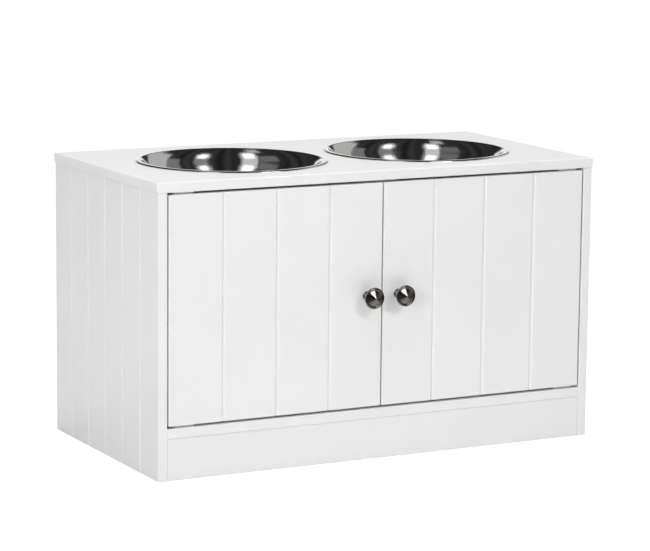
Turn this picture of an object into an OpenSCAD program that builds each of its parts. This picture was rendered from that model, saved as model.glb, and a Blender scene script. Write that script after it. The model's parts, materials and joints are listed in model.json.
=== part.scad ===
/* [Cabinet] */
// Width of the top panel, left to right
top_w = 600; // [570:1:680]
// Depth of the top panel and of the side panels, front to back
top_d = 314; // [300:1:340]
// Height of the top surface above the floor
table_h = 356; // [320:1:420]
// Thickness of every painted board
board_t = 12; // [12:0.5:15]
// How far the top panel stands out past each side panel
side_overhang = 1.5; // [0:0.5:6]
// Height of the plinth boards that carry the bottom panel
plinth_h = 51; // [48:1:80]
// How far the front plinth board sits behind the front edges
plinth_recess = 1; // [0:0.5:6]
// How far the rear plinth board sits in front of the rear edges
rear_plinth_inset = 8; // [0:1:14]
// Chamfer that eases the edges of the painted boards
edge_ease = 0.8; // [0.4:0.1:0.9]

/* [Back panel] */
// Thickness of the back panel
back_t = 3; // [2.5:0.5:5]
// Distance from the rear edges to the back panel
back_inset = 8; // [6:1:11]
// Depth of the groove that holds the edges of the back panel
back_groove = 4; // [3:0.5:5]
// Clearance between the back panel and the walls of its groove
back_play = 0.2; // [0.1:0.05:0.4]

/* [Planked faces] */
// Planks that the grooves mark out on each side panel
side_planks = 6; // [4:1:8]
// Planks that the grooves mark out on each door
door_planks = 4; // [2:1:6]
// Width of the V-grooves, which are half as deep
groove_w = 5; // [3:0.5:5]

/* [Doors] */
// Gap between a door and the side panel that it hangs beside
door_side_gap = 2; // [2:0.5:4]
// Gap between the two doors
door_centre_gap = 2; // [1:0.5:4]

/* [Hinges] */
// Length of a hinge leaf
leaf_l = 27; // [26:1:36]
// Width of a hinge leaf, which ends in half circles
leaf_w = 10; // [9:0.5:10]
// Thickness of a hinge leaf
leaf_t = 1.2; // [1.2:0.1:2]
// Thickness of the washer between the two leaves of a hinge
washer_t = 0.5; // [0.4:0.1:1]
// Outer diameter of that washer
washer_d = 7; // [6:0.5:8]
// Clearance over and under the washer
leaf_play = 0.05; // [0.05:0.01:0.1]
// Distance from the outer edge of a door to its pivot
pivot_inset = 12; // [12:0.5:16]
// Distance from the front face of a door to its pivot
pivot_setback = 6; // [6:0.1:6.4]
// Diameter of a hinge pin
pin_d = 4; // [3:0.5:4]
// Radial clearance of a pin in its holes
pin_play = 0.05; // [0.02:0.01:0.1]
// Diameter of the riveted heads of a pin
pin_head_d = 6; // [5:0.5:6]
// Height of the riveted heads of a pin
pin_head_h = 0.8; // [0.6:0.1:1.2]
// Room round a riveted head in the wood
pin_head_room = 0.4; // [0.3:0.1:0.6]

/* [Screws] */
// Shank diameter of the wood screws
screw_d = 2.8; // [2.5:0.1:3.2]
// Head diameter of the countersunk wood screws
screw_head_d = 5.2; // [4.8:0.1:5.6]
// Height of the countersunk heads
screw_head_h = 1.2; // [1:0.1:1.4]
// Length of the countersunk wood screws
screw_l = 9; // [7:0.5:10]
// Length of the point of a wood screw
screw_point = 2.5; // [1.5:0.5:3]
// Head diameter of the pan head screws in the catch
pan_head_d = 5.8; // [5.2:0.1:6.4]
// Height of those pan heads
pan_head_h = 1.9; // [1.5:0.1:2.4]
// Length of those screws under the head
pan_screw_l = 11; // [9:0.5:12]
// Width of the cross recess in every screw head
recess_w = 0.7; // [0.5:0.1:0.8]
// Depth of the cross recess
recess_depth = 0.8; // [0.5:0.1:0.9]
// Clearance round a screw in its hole
screw_play = 0.05; // [0.03:0.01:0.1]

/* [Knobs] */
// Diameter of the knob's head
knob_d = 26.5; // [24:0.5:32]
// Length of the knob from the door to the tip of its cone
knob_l = 24.5; // [22:0.5:28]
// Distance from the closing edge of a door to its knob
knob_inset = 20.5; // [18:0.5:40]
// Diameter of the foot that seats on the door
knob_foot_d = 12; // [11:0.5:16]
// Height of that foot
knob_foot_h = 1.6; // [1:0.1:2.5]
// Diameter of the neck at its narrowest
knob_neck_d = 9.6; // [8.5:0.1:11]
// Radius of the round bead at the edge of the head
knob_bead_r = 2; // [1.6:0.1:2.4]
// Height of the tip of the cone over the top of the bead
knob_cone_h = 2.9; // [2:0.1:4]
// Slope of the cone that lies within the bead, in degrees
knob_cone_slope = 22; // [18:0.5:26]
// Ease round the foot where it meets the door
knob_foot_ease = 0.4; // [0.2:0.1:0.6]
// Diameter of the machine screw that holds a knob
knob_screw_d = 4; // [3:0.5:4]
// How far that screw reaches into the knob
knob_screw_in = 9; // [6:0.5:12]
// Free depth of the bore past the end of that screw
knob_screw_gap = 0.4; // [0.2:0.1:1]
// Head diameter of that screw
knob_screw_head_d = 8; // [7:0.5:9]
// Head height of that screw
knob_screw_head_h = 2.6; // [2:0.1:3]
// Clearance round that screw in the door
knob_hole_play = 0.25; // [0.1:0.05:0.5]

/* [Magnetic catch] */
// Width of the catch housing between its ears
catch_w = 38; // [38:1:44]
// Depth of the catch housing, front to back
catch_d = 14; // [13:0.5:20]
// Height of the catch housing
catch_h = 14; // [14:0.5:18]
// Length of each ear
ear_l = 9; // [8:0.5:12]
// Thickness of the ears
ear_t = 3; // [2:0.5:4]
// Distance from the centre line to the middle of each magnet
magnet_x = 12; // [10:0.5:12]
// Distance from the top panel down to the middle of the magnets
magnet_drop = 9; // [9:0.5:10]
// Width of a magnet and of its pole plates
magnet_w = 12; // [10:0.5:12.5]
// Depth of a magnet
magnet_d = 9; // [7:0.5:10]
// Thickness of a magnet
magnet_t = 3.6; // [3:0.1:4]
// Thickness of a pole plate
pole_t = 1.2; // [1:0.1:1.4]
// How far the pole plates stand out in front of the housing
pole_reach = 1; // [0.5:0.1:2]
// Clearance round the magnets and pole plates in their pockets
magnet_play = 0.15; // [0.1:0.05:0.25]
// Diameter of the strike discs on the doors
strike_d = 11; // [9:0.5:11]
// Thickness of the strike discs
strike_t = 1.2; // [1:0.1:2]
// Air gap between a closed door's strike and the pole plates
catch_gap = 0.3; // [0.2:0.1:0.6]

/* [Cam locks] */
// Diameter of a cam
cam_d = 15; // [12:0.5:16]
// Depth of the bore for a cam
cam_depth = 9.5; // [9.2:0.1:10]
// Clearance round a cam in its bore
cam_play = 0.1; // [0.05:0.05:0.3]
// Distance from the joint to the middle of a cam
cam_reach = 24; // [20:1:34]
// Diameter of the part of a cam bolt that grips the wood
bolt_d = 6; // [5:0.5:6.5]
// Length of that part
bolt_grip = 8; // [7:0.5:9]
// Diameter of the shaft of a cam bolt
bolt_shaft_d = 5; // [4:0.5:5.5]
// Diameter of the neck that the cam takes hold of
bolt_neck_d = 3.6; // [3:0.1:3.8]
// Length of that neck
bolt_neck_l = 4; // [3:0.5:6]
// Diameter of the head of a cam bolt
bolt_head_d = 5.8; // [5:0.1:6]
// Length of the head of a cam bolt
bolt_head_l = 2.4; // [2:0.1:3]
// Clearance round a cam bolt
bolt_play = 0.2; // [0.1:0.05:0.3]
// Height of the cam locks in the plinth boards
plinth_cam_z = 18; // [12:1:20]

/* [Dowels] */
// Diameter of a dowel
dowel_d = 6; // [5:0.5:6]
// Length of a dowel
dowel_l = 20; // [18:1:30]
// Length of a dowel in the face of a board
dowel_in_face = 8; // [6:0.5:8.5]
// Clearance round a dowel and past its ends
dowel_play = 0.1; // [0.05:0.05:0.3]
// Height of the dowels in the plinth boards
plinth_dowel_z = 38; // [36:1:40]
// Distance from the centre line to the dowels over the plinths
plinth_dowel_x = 150; // [80:5:220]

/* [Bowls] */
// Distance between the middles of the two bowls
bowl_spacing = 261; // [246:1:290]
// Distance from the front edge of the top panel to the rims
bowl_front_margin = 33; // [28:1:40]
// Outer diameter of a rim
rim_d = 239; // [220:1:244]
// Height of a rim over the top panel
rim_h = 2.1; // [2:0.1:5]
// Width of the flat flange from its edge to the mouth
flange_w = 6; // [5:0.5:12]
// Depth of a bowl from the top panel down to its base
bowl_depth = 48; // [48:1:90]
// Thickness of the sheet steel
sheet_t = 1; // [0.8:0.1:1.2]
// Radius at the edge of the rim, at the middle of the sheet
rim_bend = 1; // [0.8:0.1:1.2]
// Radius of the tight bend from the flange into the mouth, at the middle of the sheet
mouth_bend = 1.1; // [1:0.1:2]
// Slope at the end of that bend, in degrees below the level of the flange
mouth_slope = 47; // [42:1:55]
// Radius of the round shoulder that leads from there to the wall, at the middle of the sheet
shoulder_bend = 34; // [24:1:35]
// Lean of the wall from upright, in degrees
wall_lean = 15.5; // [14:0.5:20]
// Radius between the wall and the floor, at the middle of the sheet
floor_bend = 44; // [24:1:45]
// How far the edge of a cut-out lies inside the edge of the mouth over it
cutout_inset = 1; // [0:0.5:1.5]
// Gap under the edge of a rim at rest
rim_seat_gap = 0.1; // [0.05:0.05:0.15]

/* [Hidden] */
$fn = 96;

// Colours
paint_white = [0.94, 0.94, 0.93];
door_white = [0.95, 0.95, 0.95];
back_white = [0.88, 0.88, 0.87];
zinc = [0.75, 0.76, 0.78];
dark_nickel = [0.38, 0.36, 0.34];
stainless = [0.8, 0.81, 0.82];
ferrite = [0.15, 0.15, 0.16];
catch_plastic = [0.9, 0.9, 0.88];
beech = [0.82, 0.67, 0.46];

// Cutters run past the faces that they open by this much
over = 1;
// Straight steps in each quarter turn of a computed arc
arc_steps = 6;
// Length of a cross recess, as a share of the diameter of its head
recess_share = 0.55;

// Cabinet levels and widths
under_top = table_h - board_t;
floor_top = plinth_h + board_t;
body_w = top_w - 2 * side_overhang;
inner_w = body_w - 2 * board_t;
// The knobs and the rear edges lie equally far from the origin
front_y = (knob_l - top_d) / 2;
rear_y = front_y + top_d;
back_y = rear_y - back_inset - back_t;

// Doors: the hinge with its washer fills the gaps over and under them
hinge_gap = 2 * leaf_t + washer_t + 2 * leaf_play;
door_w = (inner_w - 2 * door_side_gap - door_centre_gap) / 2;
door_x = -inner_w / 2 + door_side_gap;
door_z = floor_top + hinge_gap;
door_h = under_top - hinge_gap - door_z;
door_back_y = front_y + board_t;

// Hinge pivot on the left, and the screws along a leaf
pivot = [door_x + pivot_inset, front_y + pivot_setback];
leaf_screw_span = leaf_l - leaf_w;
leaf_screw_x = [leaf_screw_span / 2, leaf_screw_span];

// Planks
side_plank = top_d / side_planks;
door_plank = door_w / door_planks;

// Joints between boards: cams behind the first and the last plank, dowels behind the next
cam_y = [front_y + side_plank / 2, rear_y - side_plank / 2];
dowel_y = [cam_y[0] + side_plank, cam_y[1] - side_plank];
plinth_y = [front_y + plinth_recess, rear_y - rear_plinth_inset - board_t];
side_mid_x = -(body_w - board_t) / 2;
bottom_mid_z = plinth_h + board_t / 2;

// Bowls
rim_r = rim_d / 2;
mouth_r = rim_r - flange_w;
cutout_r = mouth_r - cutout_inset;
bowl_y = front_y + bowl_front_margin + rim_r;

// Magnetic catch
pole_y = door_back_y + strike_t + catch_gap;
catch_y = pole_y + pole_reach;
magnet_z = under_top - magnet_drop;
ear_screw_x = catch_w / 2 + ear_l / 2;

// Places of the left cam locks as [position, rotation]: the bolt runs along +X from the
// face of one board into the edge of the next, and the cam is let in from -Z
left_cams = concat(
    [for (y = cam_y) [[-inner_w / 2, y, bottom_mid_z], [0, 0, 0]]],
    [for (y = cam_y) [[side_mid_x, y, under_top], [180, 90, 0]]],
    [[[-inner_w / 2, plinth_y[0] + board_t / 2, plinth_cam_z], [90, 0, 0]]],
    [[[-inner_w / 2, plinth_y[1] + board_t / 2, plinth_cam_z], [-90, 0, 0]]]
);

// Places of the left dowels, the same way
left_dowels = concat(
    [for (y = dowel_y) [[-inner_w / 2, y, bottom_mid_z], [0, 0, 0]]],
    [for (y = dowel_y) [[side_mid_x, y, under_top], [0, 90, 0]]],
    [for (y = plinth_y) [[-inner_w / 2, y + board_t / 2, plinth_dowel_z], [0, 0, 0]]],
    [for (y = plinth_y) [[-plinth_dowel_x, y + board_t / 2, plinth_h], [0, 90, 0]]]
);

// Points on an arc about c, from angle a0 to angle a1
function arc(c, r, a0, a1) =
    let (steps = ceil(abs(a1 - a0) / 90 * arc_steps))
    [for (i = [0:steps]) c + r * [cos(a0 + (a1 - a0) * i / steps), sin(a0 + (a1 - a0) * i / steps)]];

// Unit normal on the left of the way from a to b
function left_of(a, b) = let (d = b - a) [-d[1], d[0]] / norm(d);

// Normal at point i of an open path, halfway between those of the two stretches that meet
function path_normal(p, i) =
    i == 0 ? left_of(p[0], p[1])
    : i == len(p) - 1 ? left_of(p[i - 1], p[i])
    : let (n = left_of(p[i - 1], p[i]) + left_of(p[i], p[i + 1])) n * 2 / (n * n);

// Outline of a strip of thickness t whose middle follows the path
function strip(p, t) = concat(
    [for (i = [0:len(p) - 1]) p[i] + path_normal(p, i) * t / 2],
    [for (i = [len(p) - 1:-1:0]) p[i] - path_normal(p, i) * t / 2]
);

// Copies its children onto both halves of the cabinet
module both_halves() {
    children();
    mirror([1, 0, 0]) children();
}

// Places its children at each [position, rotation] of a list
module at_each(places) {
    for (place = places) {
        translate(place[0]) rotate(place[1]) children();
    }
}

// Rectangle from the origin with eased corners
module eased_rect(a, b) {
    polygon([
        [edge_ease, 0], [a - edge_ease, 0], [a, edge_ease], [a, b - edge_ease],
        [a - edge_ease, b], [edge_ease, b], [0, b - edge_ease], [0, edge_ease]
    ]);
}

// Board from the origin with all twelve edges eased
module eased_board(w, d, h) {
    intersection() {
        linear_extrude(h) eased_rect(w, d);
        translate([0, d, 0]) rotate([90, 0, 0]) linear_extrude(d) eased_rect(w, h);
        rotate([90, 0, 90]) linear_extrude(w) eased_rect(d, h);
    }
}

// Cutter for one upright V-groove in a face that looks along -Y
module v_groove(h) {
    translate([0, 0, -over])
        linear_extrude(h + 2 * over)
            polygon([[-groove_w / 2 - over, -over], [groove_w / 2 + over, -over], [0, groove_w / 2]]);
}

// Cross recess in a screw head that looks along -Z
module cross_recess(span) {
    for (turn = [0, 90]) {
        rotate(turn)
            translate([-span / 2, -recess_w / 2, -over])
                cube([span, recess_w, recess_depth + over]);
    }
}

// Outline of a countersunk wood screw along +Z, head face at z = 0, grown by g
function wood_screw_outline(g) = [
    [0, 0], [screw_head_d / 2 + g, 0], [screw_d / 2 + g, screw_head_h],
    [screw_d / 2 + g, screw_l - screw_point + g], [0, screw_l + g]
];

module wood_screw() {
    difference() {
        rotate_extrude() polygon(wood_screw_outline(0));
        cross_recess(screw_head_d * recess_share);
    }
}

// Hole for a countersunk wood screw, open over its head
module wood_screw_hole() {
    rotate_extrude() polygon(wood_screw_outline(screw_play));
    translate([0, 0, -over]) cylinder(h = over, r = screw_head_d / 2 + screw_play);
}

// Pan head with its seat at z = 0 and its crown towards -Z
module pan_head(d, h) {
    crown_r = (d * d / 4 + h * h) / (2 * h);
    difference() {
        intersection() {
            translate([0, 0, crown_r - h]) sphere(r = crown_r);
            translate([0, 0, -h]) cylinder(h = h, d = d);
        }
        translate([0, 0, -h]) cross_recess(d * recess_share);
    }
}

// Cam bolt along +X: grip in x < 0, then shaft, neck and head
module cam_bolt() {
    head_end = cam_reach + bolt_head_l / 2;
    rotate([0, 90, 0])
        rotate_extrude()
            polygon([
                [0, -bolt_grip], [bolt_d / 2 - edge_ease, -bolt_grip],
                [bolt_d / 2, edge_ease - bolt_grip], [bolt_d / 2, 0], [bolt_shaft_d / 2, 0],
                [bolt_shaft_d / 2, head_end - bolt_head_l - bolt_neck_l],
                [bolt_neck_d / 2, head_end - bolt_head_l - bolt_neck_l],
                [bolt_neck_d / 2, head_end - bolt_head_l],
                [bolt_head_d / 2, head_end - bolt_head_l],
                [bolt_head_d / 2, head_end], [0, head_end]
            ]);
}

// Cam with the slot that takes the bolt's neck and head, and a cross recess in its face
module cam() {
    cam_h = cam_depth - 2 * cam_play;
    slot_z = bolt_head_d / 2 + bolt_play;
    neck_z = bolt_neck_d / 2 + bolt_play;
    difference() {
        translate([cam_reach, 0, cam_play - board_t / 2]) cylinder(h = cam_h, r = cam_d / 2 - cam_play);
        translate([cam_reach - bolt_head_l / 2 - bolt_play, -slot_z, -slot_z])
            cube([bolt_head_l + 2 * bolt_play, 2 * slot_z, cam_h]);
        translate([cam_reach - bolt_head_l / 2 - bolt_neck_l, -neck_z, -neck_z])
            cube([bolt_neck_l, 2 * neck_z, cam_h]);
        translate([cam_reach - cam_d / 2 - over, -slot_z, -slot_z])
            cube([cam_d / 2 + over - bolt_head_l / 2 - bolt_neck_l, 2 * slot_z, cam_h]);
        translate([cam_reach, 0, cam_play - board_t / 2]) cross_recess(cam_d * recess_share);
    }
}

// All that one cam lock needs cut: grip hole, shaft hole and cam bore
module cam_lock_cuts() {
    translate([-bolt_grip - bolt_play, 0, 0])
        rotate([0, 90, 0])
            cylinder(h = bolt_grip + bolt_play, d = bolt_d + 2 * screw_play);
    rotate([0, 90, 0]) cylinder(h = cam_reach, r = bolt_head_d / 2 + bolt_play);
    translate([cam_reach, 0, -board_t / 2 - over]) cylinder(h = cam_depth + over, d = cam_d);
}

// Dowel along +X with its joint at x = 0
module dowel() {
    translate([-dowel_in_face, 0, 0])
        rotate([0, 90, 0])
            rotate_extrude()
                polygon([
                    [0, 0], [dowel_d / 2 - edge_ease, 0], [dowel_d / 2, edge_ease],
                    [dowel_d / 2, dowel_l - edge_ease], [dowel_d / 2 - edge_ease, dowel_l], [0, dowel_l]
                ]);
}

module dowel_hole() {
    translate([-dowel_in_face - dowel_play, 0, 0])
        rotate([0, 90, 0])
            cylinder(h = dowel_l + 2 * dowel_play, r = dowel_d / 2 + dowel_play);
}

// Every hole of the joints between boards
module joint_cuts() {
    both_halves() {
        at_each(left_cams) cam_lock_cuts();
        at_each(left_dowels) dowel_hole();
    }
}

// Slot of the grooves that hold the back panel on all four edges
module back_panel_space() {
    grow = back_groove;
    translate([-inner_w / 2 - grow, back_y - back_play, floor_top - grow])
        cube([inner_w + 2 * grow, back_t + 2 * back_play, under_top - floor_top + 2 * grow]);
}

// Puts its children, drawn at a pivot on a plane with -Z into the door gap, on the left
// side: the upper ones hang from z = level, the lower ones stand on it
module at_pivot(upper, level) {
    translate([pivot[0], pivot[1], level]) {
        if (upper) {
            children();
        } else {
            mirror([0, 0, 1]) children();
        }
    }
}

// Plate of one hinge leaf under z = 0, with its pin hole, before its screw holes
module leaf_blank() {
    translate([0, 0, -leaf_t])
        linear_extrude(leaf_t)
            difference() {
                union() {
                    circle(d = leaf_w);
                    translate([leaf_screw_span, 0]) circle(d = leaf_w);
                    translate([0, -leaf_w / 2]) square([leaf_screw_span, leaf_w]);
                }
                circle(r = pin_d / 2 + pin_play);
            }
}

// Places its children at the screws of a leaf, heads on the face at z = level
module at_leaf_screws(level) {
    for (x = leaf_screw_x) {
        translate([x, 0, level]) children();
    }
}

// Leaf on the cabinet: screws run up from its lower face
module frame_leaf(upper) {
    at_pivot(upper, upper ? under_top : floor_top)
        difference() {
            leaf_blank();
            at_leaf_screws(-leaf_t) wood_screw_hole();
        }
}

// Leaf on the door: screws run down from its upper face
module door_leaf(upper) {
    at_pivot(upper, upper ? under_top : floor_top)
        translate([0, 0, leaf_t - hinge_gap])
            difference() {
                leaf_blank();
                at_leaf_screws(0) mirror([0, 0, 1]) wood_screw_hole();
            }
}

module frame_leaf_screw_set() {
    for (upper = [true, false]) {
        at_pivot(upper, upper ? under_top : floor_top) at_leaf_screws(-leaf_t) wood_screw();
    }
}

module door_leaf_screw_set() {
    for (upper = [true, false]) {
        at_pivot(upper, upper ? under_top : floor_top)
            at_leaf_screws(leaf_t - hinge_gap) mirror([0, 0, 1]) wood_screw();
    }
}

// Pin through both leaves, riveted at each end
module hinge_pin() {
    translate([0, 0, -hinge_gap - leaf_play]) cylinder(h = hinge_gap + 2 * leaf_play, d = pin_d);
    translate([0, 0, leaf_play]) cylinder(h = pin_head_h, d = pin_head_d);
    translate([0, 0, -hinge_gap - leaf_play - pin_head_h]) cylinder(h = pin_head_h, d = pin_head_d);
}

// Holes of one hinge in the panel over it: the two screws and the riveted head
module frame_hinge_cuts() {
    for (upper = [true, false]) {
        at_pivot(upper, upper ? under_top : floor_top) {
            at_leaf_screws(-leaf_t) wood_screw_hole();
            translate([0, 0, -over])
                cylinder(h = over + leaf_play + pin_head_h + pin_head_room, r = pin_head_d / 2 + pin_head_room);
        }
    }
}

// Holes of both hinges in the ends of the left door
module door_hinge_cuts() {
    room = leaf_play + pin_head_h + pin_head_room;
    for (upper = [true, false]) {
        at_pivot(upper, upper ? under_top : floor_top)
            translate([0, 0, -hinge_gap]) {
                at_leaf_screws(leaf_t) mirror([0, 0, 1]) wood_screw_hole();
                translate([0, 0, -room]) cylinder(h = room + over, r = pin_head_d / 2 + pin_head_room);
            }
    }
}

// Screws of the catch, drawn with the seat of the head at z = 0 and the point towards +Z
module catch_screw() {
    pan_head(pan_head_d, pan_head_h);
    rotate_extrude()
        polygon([
            [0, 0], [screw_d / 2, 0], [screw_d / 2, pan_screw_l - screw_point], [0, pan_screw_l]
        ]);
}

module at_catch_screws() {
    for (side = [-1, 1]) {
        translate([side * ear_screw_x, catch_y + catch_d / 2, under_top - ear_t]) children();
    }
}

module catch_screw_hole() {
    translate([0, 0, -over]) cylinder(h = pan_screw_l + over + screw_play, r = screw_d / 2 + screw_play);
}

module top_panel() {
    color(paint_white)
        difference() {
            translate([-top_w / 2, front_y, under_top]) eased_board(top_w, top_d, board_t);
            both_halves() {
                translate([bowl_spacing / 2, bowl_y, under_top - over])
                    cylinder(h = board_t + 2 * over, r = cutout_r);
                translate([bowl_spacing / 2, bowl_y, table_h - edge_ease])
                    cylinder(h = edge_ease, r1 = cutout_r, r2 = cutout_r + edge_ease);
                frame_hinge_cuts();
            }
            joint_cuts();
            back_panel_space();
            at_catch_screws() catch_screw_hole();
        }
}

// Left side panel, planked on its outer face
module side_panel() {
    difference() {
        translate([-body_w / 2, front_y, 0]) eased_board(board_t, top_d, under_top);
        for (i = [1:side_planks - 1]) {
            translate([-body_w / 2, front_y + i * side_plank, 0]) rotate(-90) v_groove(under_top);
        }
        joint_cuts();
        back_panel_space();
    }
}

module side_panel_left() {
    color(paint_white) side_panel();
}

module side_panel_right() {
    color(paint_white) mirror([1, 0, 0]) side_panel();
}

module bottom_panel() {
    color(paint_white)
        difference() {
            translate([-inner_w / 2, front_y, plinth_h]) eased_board(inner_w, top_d, board_t);
            both_halves() frame_hinge_cuts();
            joint_cuts();
            back_panel_space();
        }
}

// Plinth board whose front face lies at y
module plinth(y) {
    difference() {
        translate([-inner_w / 2, y, 0]) eased_board(inner_w, board_t, plinth_h);
        joint_cuts();
    }
}

module plinth_front() {
    color(paint_white) plinth(plinth_y[0]);
}

module plinth_rear() {
    color(paint_white) plinth(plinth_y[1]);
}

// Back panel, held on all four edges in the grooves
module back_panel() {
    grow = back_groove - back_play;
    color(back_white)
        translate([-inner_w / 2 - grow, back_y, floor_top - grow])
            cube([inner_w + 2 * grow, back_t, under_top - floor_top + 2 * grow]);
}

module cam_locks() {
    color(zinc) both_halves() at_each(left_cams) cam();
}

module cam_bolts() {
    color(zinc) both_halves() at_each(left_cams) cam_bolt();
}

module dowels() {
    color(beech) both_halves() at_each(left_dowels) dowel();
}

module frame_leaf_upper_left() {
    color(zinc) frame_leaf(true);
}

module frame_leaf_lower_left() {
    color(zinc) frame_leaf(false);
}

module frame_leaf_upper_right() {
    color(zinc) mirror([1, 0, 0]) frame_leaf(true);
}

module frame_leaf_lower_right() {
    color(zinc) mirror([1, 0, 0]) frame_leaf(false);
}

module hinge_pins() {
    color(zinc)
        both_halves() {
            at_pivot(true, under_top) hinge_pin();
            at_pivot(false, floor_top) hinge_pin();
        }
}

module hinge_washers() {
    washer_z = leaf_t + leaf_play + washer_t;
    color(zinc)
        both_halves() {
            for (upper = [true, false]) {
                at_pivot(upper, upper ? under_top : floor_top)
                    translate([0, 0, -washer_z])
                        linear_extrude(washer_t)
                            difference() {
                                circle(d = washer_d);
                                circle(r = pin_d / 2 + pin_play);
                            }
            }
        }
}

module frame_leaf_screws() {
    color(zinc) both_halves() frame_leaf_screw_set();
}

// Housing under the top panel: a block with two front pockets and a flat ear at each end
module catch_housing() {
    pocket_w = magnet_w + 2 * magnet_play;
    pocket_h = magnet_t + 2 * pole_t + 2 * magnet_play;
    pocket_d = magnet_d + magnet_play;
    full_w = catch_w + 2 * ear_l;
    color(catch_plastic)
        difference() {
            translate([0, catch_y, under_top])
                rotate([-90, 0, 0])
                    linear_extrude(catch_d)
                        union() {
                            translate([-full_w / 2, 0]) square([full_w, ear_t]);
                            translate([-catch_w / 2, 0]) square([catch_w, catch_h - edge_ease]);
                            translate([-catch_w / 2 + edge_ease, 0]) square([catch_w - 2 * edge_ease, catch_h]);
                        }
            for (side = [-1, 1]) {
                translate([side * magnet_x - pocket_w / 2, catch_y - over, magnet_z - pocket_h / 2])
                    cube([pocket_w, pocket_d + over, pocket_h]);
            }
            at_catch_screws() catch_screw_hole();
        }
}

module catch_magnets() {
    color(ferrite)
        for (side = [-1, 1]) {
            translate([side * magnet_x - magnet_w / 2, catch_y, magnet_z - magnet_t / 2])
                cube([magnet_w, magnet_d, magnet_t]);
        }
}

// Two steel plates on each magnet, which reach out to the strike disc
module catch_pole_plates() {
    color(zinc)
        for (side = [-1, 1]) {
            for (z = [magnet_t / 2, -magnet_t / 2 - pole_t]) {
                translate([side * magnet_x - magnet_w / 2, pole_y, magnet_z + z])
                    cube([magnet_w, magnet_d + pole_reach, pole_t]);
            }
        }
}

module catch_screws() {
    color(zinc) at_catch_screws() catch_screw();
}

// Places its children on the back of the left door with +Z into the wood
module at_strike() {
    translate([-magnet_x, door_back_y + strike_t, magnet_z]) rotate([90, 0, 0]) children();
}

// Places its children at the left knob with +Z out of the door's front face
module at_knob() {
    translate([door_x + door_w - knob_inset, front_y, door_z + door_h / 2]) rotate([90, 0, 0]) children();
}

// Left door, planked on its front face
module door() {
    difference() {
        translate([door_x, front_y, door_z]) eased_board(door_w, board_t, door_h);
        for (i = [1:door_planks - 1]) {
            translate([door_x + i * door_plank, front_y, door_z]) v_groove(door_h);
        }
        door_hinge_cuts();
        at_strike() wood_screw_hole();
        at_knob()
            translate([0, 0, -board_t - over])
                cylinder(h = board_t + 2 * over, r = knob_screw_d / 2 + knob_hole_play);
    }
}

// Turned knob along +Z: foot, neck that flares into the head, round bead and a low cone within it
module knob() {
    foot_r = knob_foot_d / 2;
    neck_r = knob_neck_d / 2;
    bead_c = [knob_d / 2 - knob_bead_r, knob_l - knob_cone_h - knob_bead_r];
    bead_low = bead_c[1] - knob_bead_r;
    neck_z = knob_foot_h + foot_r - neck_r;
    cone_over_bead = (knob_l - bead_c[1]) * cos(knob_cone_slope) - bead_c[0] * sin(knob_cone_slope);
    bead_end = 180 - knob_cone_slope - asin(cone_over_bead / knob_bead_r);
    flare = [
        for (a = [0:90 / arc_steps:90 - 90 / arc_steps])
            [neck_r + (bead_c[0] - neck_r) * (1 - cos(a)), neck_z + (bead_low - neck_z) * sin(a)]
    ];
    difference() {
        rotate_extrude()
            polygon(concat(
                [[0, 0], [foot_r - knob_foot_ease, 0], [foot_r, knob_foot_ease], [foot_r, knob_foot_h]],
                flare,
                arc(bead_c, knob_bead_r, -90, bead_end),
                [[0, knob_l]]
            ));
        translate([0, 0, -over])
            cylinder(h = knob_screw_in + knob_screw_gap + over, r = knob_screw_d / 2 + screw_play);
    }
}

// Machine screw from behind the door into the knob
module knob_screw() {
    translate([0, 0, -board_t]) {
        pan_head(knob_screw_head_d, knob_screw_head_h);
        cylinder(h = board_t + knob_screw_in, d = knob_screw_d);
    }
}

// Disc that the magnets hold, with the hole for its screw
module strike_disc() {
    difference() {
        cylinder(h = strike_t, d = strike_d);
        wood_screw_hole();
    }
}

module door_left() {
    color(door_white) door();
}

module door_leaf_upper_left() {
    color(zinc) door_leaf(true);
}

module door_leaf_lower_left() {
    color(zinc) door_leaf(false);
}

module door_leaf_screws_left() {
    color(zinc) door_leaf_screw_set();
}

module knob_left() {
    color(dark_nickel) at_knob() knob();
}

module knob_screw_left() {
    color(zinc) at_knob() knob_screw();
}

module strike_disc_left() {
    color(zinc) at_strike() strike_disc();
}

module strike_screw_left() {
    color(zinc) at_strike() wood_screw();
}

module door_right() {
    color(door_white) mirror([1, 0, 0]) door();
}

module door_leaf_upper_right() {
    color(zinc) mirror([1, 0, 0]) door_leaf(true);
}

module door_leaf_lower_right() {
    color(zinc) mirror([1, 0, 0]) door_leaf(false);
}

module door_leaf_screws_right() {
    color(zinc) mirror([1, 0, 0]) door_leaf_screw_set();
}

module knob_right() {
    color(dark_nickel) mirror([1, 0, 0]) at_knob() knob();
}

module knob_screw_right() {
    color(zinc) mirror([1, 0, 0]) at_knob() knob_screw();
}

module strike_disc_right() {
    color(zinc) mirror([1, 0, 0]) at_strike() strike_disc();
}

module strike_screw_right() {
    color(zinc) mirror([1, 0, 0]) at_strike() wood_screw();
}

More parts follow.
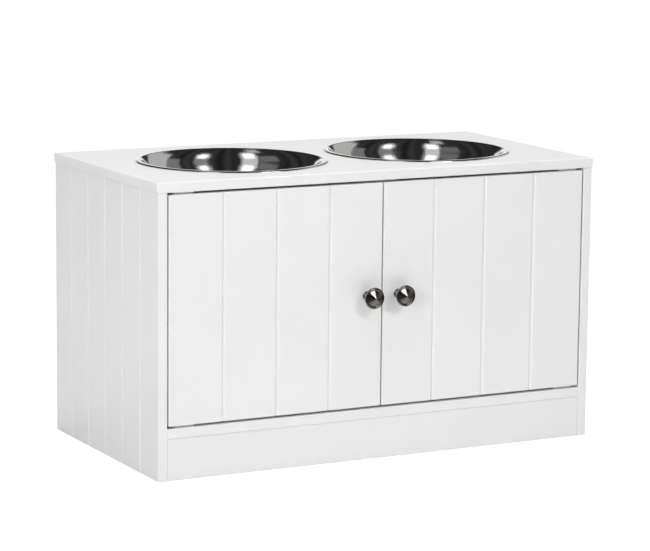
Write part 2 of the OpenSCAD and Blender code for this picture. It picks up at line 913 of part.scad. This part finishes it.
// Drawn steel bowl, its rim turned down onto the top panel at z = 0: level flange, tight bend
// at the mouth, round shoulder, leaning wall and a wide bend into the flat floor
module bowl() {
    top_z = rim_h - sheet_t / 2;
    edge_r = rim_r - sheet_t / 2;
    floor_z = sheet_t / 2 - bowl_depth;
    mouth_c = [mouth_r, top_z - mouth_bend];
    shoulder_c = mouth_c + (shoulder_bend - mouth_bend) * [sin(mouth_slope), -cos(mouth_slope)];
    wall_top = shoulder_c + shoulder_bend * [-cos(wall_lean), sin(wall_lean)];
    floor_c_z = floor_z + floor_bend;
    wall_l = (wall_top[1] - floor_c_z + floor_bend * sin(wall_lean)) / cos(wall_lean);
    floor_c = [wall_top[0] - wall_l * sin(wall_lean) - floor_bend * cos(wall_lean), floor_c_z];
    middle = concat(
        [[edge_r, rim_seat_gap]],
        arc([edge_r - rim_bend, top_z - rim_bend], rim_bend, 0, 90),
        arc(mouth_c, mouth_bend, 90, 90 + mouth_slope),
        arc(shoulder_c, shoulder_bend, 90 + mouth_slope, 180 - wall_lean),
        arc(floor_c, floor_bend, -wall_lean, -90),
        [[0, floor_z]]
    );
    rotate_extrude() polygon(strip(middle, sheet_t));
}

module bowl_left() {
    color(stainless) translate([-bowl_spacing / 2, bowl_y, table_h]) bowl();
}

module bowl_right() {
    color(stainless) translate([bowl_spacing / 2, bowl_y, table_h]) bowl();
}

top_panel();
side_panel_left();
side_panel_right();
bottom_panel();
plinth_front();
plinth_rear();
back_panel();
cam_locks();
cam_bolts();
dowels();
frame_leaf_upper_left();
frame_leaf_lower_left();
frame_leaf_upper_right();
frame_leaf_lower_right();
hinge_pins();
hinge_washers();
frame_leaf_screws();
catch_housing();
catch_magnets();
catch_pole_plates();
catch_screws();
door_left();
door_leaf_upper_left();
door_leaf_lower_left();
door_leaf_screws_left();
knob_left();
knob_screw_left();
strike_disc_left();
strike_screw_left();
door_right();
door_leaf_upper_right();
door_leaf_lower_right();
door_leaf_screws_right();
knob_right();
knob_screw_right();
strike_disc_right();
strike_screw_right();
bowl_left();
bowl_right();
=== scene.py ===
import json
import math

import bmesh
import bpy
from mathutils import Matrix, Vector


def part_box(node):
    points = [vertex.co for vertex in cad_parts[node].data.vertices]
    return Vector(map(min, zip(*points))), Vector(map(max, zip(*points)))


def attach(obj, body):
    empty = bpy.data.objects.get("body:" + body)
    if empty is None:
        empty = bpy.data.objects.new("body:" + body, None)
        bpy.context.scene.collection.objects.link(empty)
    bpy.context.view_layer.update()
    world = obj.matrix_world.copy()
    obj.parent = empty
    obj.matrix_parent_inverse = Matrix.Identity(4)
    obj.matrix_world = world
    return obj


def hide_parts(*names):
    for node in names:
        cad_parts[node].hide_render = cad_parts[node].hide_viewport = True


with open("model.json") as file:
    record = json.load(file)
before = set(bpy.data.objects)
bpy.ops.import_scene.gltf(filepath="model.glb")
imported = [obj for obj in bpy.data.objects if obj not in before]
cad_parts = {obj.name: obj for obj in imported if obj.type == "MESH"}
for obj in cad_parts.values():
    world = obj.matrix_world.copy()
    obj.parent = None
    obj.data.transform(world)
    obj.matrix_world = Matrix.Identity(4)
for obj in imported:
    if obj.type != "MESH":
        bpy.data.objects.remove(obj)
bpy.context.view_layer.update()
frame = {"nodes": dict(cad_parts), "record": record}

MM = 0.001
# Lengths below this are nothing
SPECK = 0.001 * MM
NODES = frame["nodes"]

# Frame of the photograph and its focal length, in pixels, and the camera's sensor in mm
PHOTO_W = 650
FOCAL_PX = 2793.4
SENSOR_W = 36.0
# The camera's turn to the right, tilt down and roll, in degrees
CAMERA_TURN = 27.727
CAMERA_TILT = 9.609
CAMERA_ROLL = 0.584
# The camera's place in metres, from the floor under the middle of the front edge
CAMERA_PLACE = Vector((-1.618, -2.9279, 0.7926))

# Level of the world as light on the object, and as the camera and reflections see it
AMBIENT = 0.2
BACKGROUND = 1.0


def add(tree, kind, inputs=None, **settings):
    """A new node of a tree, with its settings, and with its inputs set or linked."""
    made = tree.nodes.new(kind)
    for key, value in settings.items():
        setattr(made, key, value)
    for key, value in (inputs or {}).items():
        if isinstance(value, bpy.types.NodeSocket):
            tree.links.new(value, made.inputs[key])
        else:
            made.inputs[key].default_value = value
    return made


def empty_tree(owner):
    """The cleared node tree of a material or world."""
    owner.use_nodes = True
    owner.node_tree.nodes.clear()
    return owner.node_tree


def principled(name, **inputs):
    """A material, its tree and its principled shader with the given inputs."""
    material = bpy.data.materials.new(name)
    tree = empty_tree(material)
    surface = add(tree, "ShaderNodeBsdfPrincipled")
    for key, value in inputs.items():
        surface.inputs[key.replace("_", " ")].default_value = value
    add(tree, "ShaderNodeOutputMaterial", {"Surface": surface.outputs[0]})
    return material, tree, surface


def object_place(tree):
    return add(tree, "ShaderNodeTexCoord").outputs["Object"]


def noise(tree, place, scale, detail=2.0, roughness=0.5):
    inputs = {"Vector": place, "Scale": scale, "Detail": detail, "Roughness": roughness}
    return add(tree, "ShaderNodeTexNoise", inputs).outputs["Fac"]


def spread(tree, value, low, high, source=(0.3, 0.7)):
    """Maps a texture's value from its usual range to the range from low to high."""
    inputs = {"Value": value, "From Min": source[0], "From Max": source[1]}
    inputs.update({"To Min": low, "To Max": high})
    return add(tree, "ShaderNodeMapRange", inputs).outputs["Result"]


def two_colours(tree, factor, first, second):
    """The first colour where the factor is 0, the second where it is 1."""
    mix = add(tree, "ShaderNodeMix", data_type="RGBA")
    tree.links.new(factor, mix.inputs["Factor"])
    for socket, value in ((mix.inputs[6], first), (mix.inputs[7], second)):
        if isinstance(value, bpy.types.NodeSocket):
            tree.links.new(value, socket)
        else:
            socket.default_value = (*value, 1)
    return mix.outputs[2]


def edge_mask(tree, radius):
    """1 along edges and 0 on open faces, from how a rounded normal leaves the true one."""
    rounded = add(tree, "ShaderNodeBevel", {"Radius": radius}, samples=4).outputs[0]
    true_normal = add(tree, "ShaderNodeNewGeometry").outputs["Normal"]
    dot = add(tree, "ShaderNodeVectorMath", operation="DOT_PRODUCT")
    tree.links.new(rounded, dot.inputs[0])
    tree.links.new(true_normal, dot.inputs[1])
    return spread(tree, dot.outputs["Value"], 1.0, 0.0, source=(0.9, 1.0))


def bump(tree, surface, height, strength, distance):
    inputs = {"Height": height, "Strength": strength, "Distance": distance}
    made = add(tree, "ShaderNodeBump", inputs)
    tree.links.new(made.outputs[0], surface.inputs["Normal"])


def painted(name, colour):
    """Sprayed satin paint on board: faint clouds, a painted highlight that makes the edges paler,
    fine orange peel.
    """
    material, tree, surface = principled(name, IOR=1.46)
    place = object_place(tree)
    clouds = spread(tree, noise(tree, place, 7.0, detail=4.0), 0.0, 1.0)
    shade = [c * 0.975 for c in colour]
    base = two_colours(tree, clouds, shade, colour)
    # Painted highlight: the colour is made paler along the edges, where light catches them
    painted_edge_highlight = [min(1.0, c * 1.03) for c in colour]
    base = two_colours(tree, edge_mask(tree, 0.9 * MM), base, painted_edge_highlight)
    tree.links.new(base, surface.inputs["Base Color"])
    sheen = spread(tree, noise(tree, place, 60.0, detail=3.0), 0.36, 0.46)
    tree.links.new(sheen, surface.inputs["Roughness"])
    peel = noise(tree, place, 520.0, detail=3.0, roughness=0.55)
    bump(tree, surface, peel, 0.10, 0.15 * MM)
    return material


def polished_steel(name):
    """Drawn steel: rings left by the polishing wheel smear it, and its sheet waves a little."""
    steel = (0.80, 0.795, 0.785, 1)
    across_rings = {"Anisotropic": 0.8, "Anisotropic_Rotation": 0.25}
    material, tree, surface = principled(name, Metallic=1.0, Base_Color=steel, **across_rings)
    rings = add(tree, "ShaderNodeTangent", direction_type="RADIAL", axis="Z").outputs[0]
    tree.links.new(rings, surface.inputs["Tangent"])
    place = object_place(tree)
    haze = spread(tree, noise(tree, place, 35.0, detail=5.0), 0.07, 0.12)
    tree.links.new(haze, surface.inputs["Roughness"])
    bump(tree, surface, noise(tree, place, 30.0, detail=4.0, roughness=0.6), 1.0, 0.3 * MM)
    return material


def metal(name, colour, rough_low, rough_high, depth=0.02, metallic=1.0):
    """Plated steel: its colour and gloss vary a little, with a fine grain in relief."""
    material, tree, surface = principled(name, Metallic=metallic)
    place = object_place(tree)
    patches = spread(tree, noise(tree, place, 120.0, detail=4.0), 0.0, 1.0)
    shade = [c * 0.9 for c in colour]
    base = two_colours(tree, patches, shade, colour)
    tree.links.new(base, surface.inputs["Base Color"])
    haze = spread(tree, noise(tree, place, 260.0, detail=3.0), rough_low, rough_high)
    tree.links.new(haze, surface.inputs["Roughness"])
    bump(tree, surface, noise(tree, place, 900.0), depth, 0.1 * MM)
    return material


def plastic(name, colour):
    """Moulded plastic with a fine spark-eroded grain."""
    material, tree, surface = principled(name, IOR=1.49)
    place = object_place(tree)
    patches = spread(tree, noise(tree, place, 40.0), 0.0, 1.0)
    base = two_colours(tree, patches, [c * 0.97 for c in colour], colour)
    tree.links.new(base, surface.inputs["Base Color"])
    haze = spread(tree, noise(tree, place, 300.0), 0.42, 0.52)
    tree.links.new(haze, surface.inputs["Roughness"])
    bump(tree, surface, noise(tree, place, 1800.0), 0.15, 0.1 * MM)
    return material


def ferrite(name):
    """Sintered magnet: matt dark grey with a grainy break."""
    material, tree, surface = principled(name)
    place = object_place(tree)
    specks = spread(tree, noise(tree, place, 1500.0, detail=4.0), 0.0, 1.0)
    base = two_colours(tree, specks, (0.035, 0.035, 0.04), (0.075, 0.075, 0.08))
    tree.links.new(base, surface.inputs["Base Color"])
    tree.links.new(spread(tree, specks, 0.5, 0.7, source=(0, 1)), surface.inputs["Roughness"])
    bump(tree, surface, specks, 0.3, 0.1 * MM)
    return material


def beech(name):
    """Turned beech: long fibres along the dowel and short darker flecks."""
    material, tree, surface = principled(name, IOR=1.45)
    place = object_place(tree)
    along = add(tree, "ShaderNodeMapping", {"Vector": place, "Scale": (30.0, 260.0, 260.0)})
    fibres = spread(tree, noise(tree, along.outputs[0], 1.0, detail=5.0), 0.0, 1.0)
    base = two_colours(tree, fibres, (0.56, 0.36, 0.19), (0.68, 0.48, 0.28))
    tree.links.new(base, surface.inputs["Base Color"])
    tree.links.new(spread(tree, fibres, 0.55, 0.7, source=(0, 1)), surface.inputs["Roughness"])
    bump(tree, surface, fibres, 0.2, 0.1 * MM)
    return material


ZINC = (0.80, 0.81, 0.83)
NICKEL = (0.34, 0.325, 0.30)
MATERIALS = {
    "painted_board": painted("painted_board", (0.86, 0.86, 0.855)),
    "painted_door": painted("painted_door", (0.865, 0.865, 0.865)),
    "back_board": painted("back_board", (0.80, 0.80, 0.79)),
    "stainless_steel": polished_steel("stainless_steel"),
    "dark_nickel": metal("dark_nickel", NICKEL, 0.10, 0.15, depth=0.01),
    "zinc_plated_steel": metal("zinc_plated_steel", ZINC, 0.36, 0.48, metallic=0.55),
    "catch_plastic": plastic("catch_plastic", (0.80, 0.80, 0.77)),
    "ferrite": ferrite("ferrite"),
    "beech": beech("beech"),
}


def paint_frame():
    """Gives every carried-over node the material of its slot in the record."""
    for part in frame["record"]["subparts"]:
        node = NODES[part["node"]]
        node.data.materials.clear()
        node.data.materials.append(MATERIALS[part["material_slot"]])


# Boards whose sprayed edges are eased, by how much, and from what angle on an edge counts
BOARDS = [
    "top_panel", "side_panel_left", "side_panel_right", "bottom_panel",
    "plinth_front", "plinth_rear", "door_left", "door_right",
]
BOARD_EASE = 0.35 * MM
EASE_ANGLE = 25.0


def ease(name):
    """Rounds the edges of a carried-over node by modifiers, with its own mesh as it was."""
    node = NODES[name]
    weld = node.modifiers.new("weld", "WELD")
    weld.merge_threshold = SPECK
    bevel = node.modifiers.new("bevel", "BEVEL")
    bevel.width = BOARD_EASE
    bevel.segments = 2
    bevel.limit_method = "ANGLE"
    bevel.angle_limit = math.radians(EASE_ANGLE)
    normals = node.modifiers.new("normals", "WEIGHTED_NORMAL")
    normals.keep_sharp = False


def arc(centre, radius, start, end, step=4.0):
    """Points on an arc of an outline, from angle start to angle end in degrees."""
    count = max(1, math.ceil(abs(end - start) / step))
    angles = [math.radians(start + (end - start) * i / count) for i in range(count + 1)]
    return [(centre[0] + radius * math.cos(a), centre[1] + radius * math.sin(a)) for a in angles]


def strip(path, thickness):
    """Outline of a sheet of the given thickness whose middle follows the path."""
    points = [Vector(p) for p in path]
    ways = [(b - a).normalized() for a, b in zip(points, points[1:])]
    ways = [ways[0], *ways, ways[-1]]
    sides = []
    for before, after in zip(ways, ways[1:]):
        normal = Vector((-before.y - after.y, before.x + after.x)).normalized()
        sides.append(normal * thickness / 2)
    upper = [tuple(p + s) for p, s in zip(points, sides)]
    lower = [tuple(p - s) for p, s in zip(points, sides)]
    return upper + lower[::-1]


def lathe(name, outline, centre, axis, material, segments=192):
    """A body turned from a closed outline of (radius, height) points round an axis."""
    mesh = bpy.data.meshes.new(name)
    bm = bmesh.new()
    rings = []
    for radius, height in outline:
        if radius < SPECK:
            rings.append([bm.verts.new((0, 0, height))] * segments)
            continue
        turns = [2 * math.pi * i / segments for i in range(segments)]
        ring = [(radius * math.cos(t), radius * math.sin(t), height) for t in turns]
        rings.append([bm.verts.new(point) for point in ring])
    for ring, following in zip(rings, rings[1:] + rings[:1]):
        for i in range(segments):
            j = (i + 1) % segments
            corners = [ring[i], ring[j], following[j], following[i]]
            corners = [c for k, c in enumerate(corners) if c not in corners[:k]]
            if len(corners) > 2:
                bm.faces.new(corners)
    bmesh.ops.recalc_face_normals(bm, faces=bm.faces)
    for face in bm.faces:
        face.smooth = True
    turn = Vector((0, 0, 1)).rotation_difference(Vector(axis)).to_matrix().to_4x4()
    bm.transform(Matrix.Translation(centre) @ turn)
    bm.to_mesh(mesh)
    bm.free()
    mesh.materials.append(material)
    piece = bpy.data.objects.new(name, mesh)
    bpy.context.scene.collection.objects.link(piece)
    return piece


# Bowls, with the same sizes as their solids
SHEET = 1.0 * MM
FLANGE_W = 6.0 * MM
RIM_H = 2.1 * MM
RIM_BEND = 1.0 * MM
MOUTH_BEND = 1.1 * MM
MOUTH_SLOPE = 47.0
SHOULDER_BEND = 34.0 * MM
WALL_LEAN = 15.5
FLOOR_BEND = 44.0 * MM
RIM_SEAT_GAP = 0.1 * MM


def polar(radius, degrees):
    angle = math.radians(degrees)
    return Vector((radius * math.cos(angle), radius * math.sin(angle)))


def bowl_outline(rim_r, depth):
    """Outline of a drawn bowl, its rim turned down onto the top panel at height 0."""
    top_z = RIM_H - SHEET / 2
    edge_r = rim_r - SHEET / 2
    floor_z = SHEET / 2 - depth
    mouth_c = Vector((rim_r - FLANGE_W, top_z - MOUTH_BEND))
    shoulder_c = mouth_c + polar(SHOULDER_BEND - MOUTH_BEND, MOUTH_SLOPE - 90)
    wall_top = shoulder_c + polar(SHOULDER_BEND, 180 - WALL_LEAN)
    floor_c_z = floor_z + FLOOR_BEND
    lean = math.radians(WALL_LEAN)
    wall_l = (wall_top.y - floor_c_z + FLOOR_BEND * math.sin(lean)) / math.cos(lean)
    floor_c = (wall_top.x - wall_l * math.sin(lean) - FLOOR_BEND * math.cos(lean), floor_c_z)
    path = [(edge_r, RIM_SEAT_GAP)]
    path += arc((edge_r - RIM_BEND, top_z - RIM_BEND), RIM_BEND, 0, 90, step=10)
    path += arc(mouth_c, MOUTH_BEND, 90, 90 + MOUTH_SLOPE, step=5)
    path += arc(shoulder_c, SHOULDER_BEND, 90 + MOUTH_SLOPE, 180 - WALL_LEAN, step=1.5)
    path += arc(floor_c, FLOOR_BEND, -WALL_LEAN, -90, step=2)
    path += [(0, floor_z)]
    return strip(path, SHEET)


def make_bowl(side):
    node = "bowl_" + side
    low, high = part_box(node)
    table_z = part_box("top_panel")[1].z
    middle = Vector(((low.x + high.x) / 2, (low.y + high.y) / 2, table_z))
    outline = bowl_outline((high.x - low.x) / 2, table_z - low.z)
    piece = lathe(node + "_sheet", outline, middle, (0, 0, 1), MATERIALS["stainless_steel"])
    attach(piece, node)
    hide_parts(node)


# Knobs, with the same sizes as their solids
KNOB_FOOT_R = 6.0 * MM
KNOB_FOOT_H = 1.6 * MM
KNOB_FOOT_EASE = 0.4 * MM
KNOB_NECK_R = 4.8 * MM
KNOB_BEAD_R = 2.0 * MM
KNOB_CONE_H = 2.9 * MM
KNOB_CONE_SLOPE = 22.0
KNOB_TIP_R = 0.3 * MM
KNOB_BORE_R = 2.05 * MM
KNOB_BORE_H = 9.4 * MM
# Steps of the neck's flare, sides of the turned body, and the angle of an edge that stays sharp
KNOB_FLARE_STEPS = 20
KNOB_SIDES = 96
KNOB_SHARP = 30.0


def knob_outline(radius, length):
    """Outline of a turned knob: foot, neck that flares into the head, bead and cone within it."""
    bead = (radius - KNOB_BEAD_R, length - KNOB_CONE_H - KNOB_BEAD_R)
    bead_low = bead[1] - KNOB_BEAD_R
    neck_z = KNOB_FOOT_H + KNOB_FOOT_R - KNOB_NECK_R
    slope = math.radians(KNOB_CONE_SLOPE)
    cone_over_bead = (length - bead[1]) * math.cos(slope) - bead[0] * math.sin(slope)
    bead_end = 180 - KNOB_CONE_SLOPE - math.degrees(math.asin(cone_over_bead / KNOB_BEAD_R))
    outline = [(KNOB_BORE_R, 0), (KNOB_FOOT_R - KNOB_FOOT_EASE, 0)]
    outline += [(KNOB_FOOT_R, KNOB_FOOT_EASE), (KNOB_FOOT_R, KNOB_FOOT_H)]
    for i in range(KNOB_FLARE_STEPS):
        turn = math.radians(90 * i / KNOB_FLARE_STEPS)
        flare_r = KNOB_NECK_R + (bead[0] - KNOB_NECK_R) * (1 - math.cos(turn))
        outline.append((flare_r, neck_z + (bead_low - neck_z) * math.sin(turn)))
    outline += arc(bead, KNOB_BEAD_R, -90, bead_end, step=7.5)
    outline += [(KNOB_TIP_R, length - KNOB_TIP_R * math.tan(slope)), (0, length)]
    outline += [(0, KNOB_BORE_H), (KNOB_BORE_R, KNOB_BORE_H)]
    return outline


def make_knob(side):
    node = "knob_" + side
    low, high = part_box(node)
    seat = Vector(((low.x + high.x) / 2, high.y, (low.z + high.z) / 2))
    outline = knob_outline((high.x - low.x) / 2, high.y - low.y)
    name = node + "_turned"
    piece = lathe(name, outline, seat, (0, -1, 0), MATERIALS["dark_nickel"], KNOB_SIDES)
    sharp_by_angle(piece, KNOB_SHARP)
    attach(piece, "door_" + side)
    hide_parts(node)


def sharp_by_angle(piece, degrees):
    """Marks the edges that turn by more than an angle, so that only the others shade smooth."""
    bm = bmesh.new()
    bm.from_mesh(piece.data)
    limit = math.radians(degrees)
    for edge in bm.edges:
        edge.smooth = edge.calc_face_angle(0.0) < limit
    bm.to_mesh(piece.data)
    bm.free()


def only_reflected(stage_object):
    """Leaves a studio card in reflections alone, where it stands for what is round the object."""
    stage_object.visible_camera = False
    stage_object.visible_diffuse = False
    stage_object.visible_transmission = False
    stage_object.visible_shadow = False


def seen_directly(tree):
    """1 on rays from the camera, of a reflection or through glass, and 0 where it is light."""
    path = add(tree, "ShaderNodeLightPath").outputs
    seen = path["Is Camera Ray"]
    for kind in ("Is Glossy Ray", "Is Transmission Ray"):
        either = add(tree, "ShaderNodeMath", {0: seen, 1: path[kind]}, operation="MAXIMUM")
        seen = either.outputs[0]
    return seen


def white_background(tree, strength):
    inputs = {"Color": (1, 1, 1, 1), "Strength": strength}
    return add(tree, "ShaderNodeBackground", inputs).outputs[0]


def make_world():
    world = bpy.data.worlds.new("studio")
    bpy.context.scene.world = world
    tree = empty_tree(world)
    light, white = white_background(tree, AMBIENT), white_background(tree, BACKGROUND)
    inputs = {"Fac": seen_directly(tree), 1: light, 2: white}
    mix = add(tree, "ShaderNodeMixShader", inputs).outputs[0]
    add(tree, "ShaderNodeOutputWorld", {"Surface": mix})


# The floor where it is seen: its own glow, and its paint, which takes light and shadow
FLOOR_GLOW = 0.97
FLOOR_PAINT = 0.23
# Paint of the floor where it throws light back at the object
FLOOR_BOUNCE = 0.92
FLOOR_SPAN = 40.0


def matt(tree, level):
    return add(tree, "ShaderNodeBsdfDiffuse", {"Color": (level, level, level, 1)}).outputs[0]


def make_floor():
    mesh = bpy.data.meshes.new("floor")
    half = FLOOR_SPAN / 2
    corners = [(-half, -half, 0), (half, -half, 0), (half, half, 0), (-half, half, 0)]
    mesh.from_pydata(corners, [], [(0, 1, 2, 3)])
    floor = bpy.data.objects.new("floor", mesh)
    bpy.context.scene.collection.objects.link(floor)
    material = bpy.data.materials.new("floor")
    tree = empty_tree(material)
    glow = add(tree, "ShaderNodeEmission", {"Strength": FLOOR_GLOW}).outputs[0]
    white = add(tree, "ShaderNodeAddShader", {0: matt(tree, FLOOR_PAINT), 1: glow}).outputs[0]
    inputs = {"Fac": seen_directly(tree), 1: matt(tree, FLOOR_BOUNCE), 2: white}
    mix = add(tree, "ShaderNodeMixShader", inputs).outputs[0]
    add(tree, "ShaderNodeOutputMaterial", {"Surface": mix})
    mesh.materials.append(material)


def aim(thing, place, target):
    thing.location = place
    thing.rotation_euler = (Vector(target) - Vector(place)).to_track_quat("-Z", "Y").to_euler()


def direction(azimuth, elevation):
    """Unit vector at an azimuth, 0 in front and positive to the right, and an elevation."""
    a, e = math.radians(azimuth), math.radians(elevation)
    return Vector((math.sin(a) * math.cos(e), -math.cos(a) * math.cos(e), math.sin(e)))


# Point over the floor that the lamps face and are placed round
LAMPS_MIDDLE = Vector((0, 0, 0.2))


def softbox(name, azimuth, elevation, distance, size, power):
    """A lamp that lights the object. Reflections show the studio's light in its place."""
    data = bpy.data.lights.new(name, "AREA")
    data.shape = "RECTANGLE"
    data.size, data.size_y = size
    data.energy = power
    light = bpy.data.objects.new(name, data)
    bpy.context.scene.collection.objects.link(light)
    place = LAMPS_MIDDLE + direction(azimuth, elevation) * distance
    aim(light, place, LAMPS_MIDDLE)
    light.visible_camera = False
    light.visible_glossy = False


def make_lights():
    softbox("softbox_left", -52, 42, 2.6, (1.0, 1.6), 8.1)
    softbox("softbox_low", -54, 13, 3.0, (0.45, 0.45), 19.3)
    softbox("softbox_right", 10, 29, 2.6, (0.45, 0.5), 12.8)
    softbox("softbox_top", 0, 88, 2.6, (2.4, 2.0), 58.0)


def ramp(value, low, high, soft):
    """1 between low and high, and falling to 0 over the width soft outside them."""
    outside = max(low - value, value - high, 0.0)
    return max(0.0, 1.0 - outside / soft)


# What shines in the studio, as ranges of azimuth and elevation, width of its soft edge, and level
STUDIO = [
    ((-61, -48), (38, 52), 16.0, 1.7),
    ((-64, -44), (12, 35), 8.0, 0.62),
    ((-82, -62), (60, 68), 10.0, 0.5),
    ((14, 23), (38, 47), 16.0, 1.7),
    ((9, 28), (4, 36), 8.0, 0.22),
    ((56, 76), (4, 30), 8.0, 0.2),
    ((80, 122), (6, 41), 10.0, 0.5),
    ((-97, -70), (26, 42), 10.0, 0.16),
]
# The dark room round them: its mean level, and its two sets of upright streaks, each as
# waves in a turn and start in degrees
STUDIO_DARK = 0.027
DARK_STREAKS = [(11, 0), (17, 60)]
DARK_SWING = 0.0072
STUDIO_RADIUS = 6.0
STUDIO_STEP = 2
# White backdrop behind the object: its sides, its top square behind it, and its edge's width
BACK_SIDES = (100.0, 184.0)
BACK_TOP = 12.0
BACK_SOFT = 4.0


def studio_level(azimuth, elevation):
    """How brightly the studio shines from a direction, as polished metal sees it."""
    streaks = [math.sin(math.radians(n * azimuth + start)) for n, start in DARK_STREAKS]
    level = STUDIO_DARK + DARK_SWING * sum(streaks)
    for azimuths, elevations, soft, strength in STUDIO:
        share = ramp(azimuth, *azimuths, soft) * ramp(elevation, *elevations, soft)
        level = max(level, share ** 3 * strength)
    turn = azimuth % 360
    top = -BACK_TOP * math.cos(math.radians(turn))
    back = ramp(turn, *BACK_SIDES, BACK_SOFT) * ramp(elevation, -90, top, BACK_SOFT)
    return max(level, back)


def make_reflected(name, points, faces, levels):
    """A stage mesh that only reflections see, and that shines by the level at each point."""
    mesh = bpy.data.meshes.new(name)
    mesh.from_pydata(points, [], faces)
    glow = mesh.attributes.new("glow", "FLOAT", "POINT")
    glow.data.foreach_set("value", levels)
    piece = bpy.data.objects.new(name, mesh)
    bpy.context.scene.collection.objects.link(piece)
    material = bpy.data.materials.new(name)
    tree = empty_tree(material)
    level = add(tree, "ShaderNodeAttribute", attribute_name="glow").outputs["Fac"]
    light = add(tree, "ShaderNodeEmission", {"Strength": level}).outputs[0]
    add(tree, "ShaderNodeOutputMaterial", {"Surface": light})
    mesh.materials.append(material)
    only_reflected(piece)


def make_studio():
    """A dome that only reflections see: it stands for the lamps and the dark room round them."""
    columns, rows = 360 // STUDIO_STEP, 90 // STUDIO_STEP
    points, levels, faces = [], [], []
    for j in range(rows + 1):
        for i in range(columns):
            azimuth, elevation = i * STUDIO_STEP - 180, j * STUDIO_STEP
            points.append(direction(azimuth, elevation) * STUDIO_RADIUS)
            levels.append(studio_level(azimuth, elevation))
    for j in range(rows):
        for i in range(columns):
            low, high, k = j * columns, (j + 1) * columns, (i + 1) % columns
            faces.append((low + i, low + k, high + k, high + i))
    make_reflected("studio", points, faces, levels)


# Floor of the studio in front of the object as reflections see it: radius and level of each ring
APRON = [(0.2, 0.9), (0.35, 0.55), (0.6, 0.06), (5.9, 0.06)]
APRON_SIDES = (-120, 120)
APRON_STEP = 4
# That floor is paler on the right: azimuth from which on, width of the change, and level
APRON_RIGHT = 60
APRON_SOFT = 20.0
APRON_PALE = 0.4


def make_apron():
    """A ring just over the floor that only reflections see."""
    first, last = APRON_SIDES
    columns = (last - first) // APRON_STEP
    points, levels, faces = [], [], []
    for radius, level in APRON:
        for i in range(columns + 1):
            azimuth = first + i * APRON_STEP
            right = 1.0 - ramp(azimuth, first, APRON_RIGHT, APRON_SOFT)
            points.append(direction(azimuth, 0) * radius + Vector((0, 0, MM)))
            levels.append(level + right * (max(level, APRON_PALE) - level))
    for j in range(len(APRON) - 1):
        for i in range(columns):
            k = j * (columns + 1) + i
            faces.append((k, k + 1, k + columns + 2, k + columns + 1))
    make_reflected("apron", points, faces, levels)


# Small glowing card in front of the knobs that only reflections see, a painted glint on them:
# direction and distance from them, half size, and level
GLINT_AIM = (12, 26)
GLINT_FAR = 0.6
GLINT_HALF = (0.15, 0.085)
GLINT_LEVEL = 4.0


def make_glint():
    """A glowing card that only reflections see, a painted glint on the knobs, too low to show in
    the bowls.
    """
    low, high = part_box("knob_left")
    middle = Vector((0, low.y, (low.z + high.z) / 2)) + direction(*GLINT_AIM) * GLINT_FAR
    across = direction(GLINT_AIM[0] + 90, 0) * GLINT_HALF[0]
    upward = direction(GLINT_AIM[0], GLINT_AIM[1] + 90) * GLINT_HALF[1]
    sides = [(-1, -1), (1, -1), (1, 1), (-1, 1)]
    points = [middle + across * a + upward * u for a, u in sides]
    make_reflected("glint", points, [(0, 1, 2, 3)], [GLINT_LEVEL] * 4)


def make_camera():
    """The photograph's camera. Its sideways axis is level before the roll."""
    turn, roll = math.radians(CAMERA_TURN), math.radians(CAMERA_ROLL)
    ahead = -direction(-CAMERA_TURN, CAMERA_TILT)
    level_right = Vector((math.cos(turn), -math.sin(turn), 0))
    level_up = level_right.cross(ahead)
    right = level_right * math.cos(roll) + level_up * math.sin(roll)
    up = level_up * math.cos(roll) - level_right * math.sin(roll)
    data = bpy.data.cameras.new("camera")
    data.sensor_width = SENSOR_W
    data.lens = FOCAL_PX * SENSOR_W / PHOTO_W
    camera = bpy.data.objects.new("camera", data)
    bpy.context.scene.collection.objects.link(camera)
    front = Vector((0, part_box("top_panel")[0].y, 0))
    turned = Matrix((right, up, -ahead)).transposed().to_4x4()
    camera.matrix_world = Matrix.Translation(front + CAMERA_PLACE) @ turned
    bpy.context.scene.camera = camera


paint_frame()
for board in BOARDS:
    ease(board)
for side in ("left", "right"):
    make_bowl(side)
    make_knob(side)
make_floor()
make_studio()
make_apron()
make_glint()
make_world()
make_lights()
make_camera()
bpy.context.scene.view_settings.view_transform = "Standard"
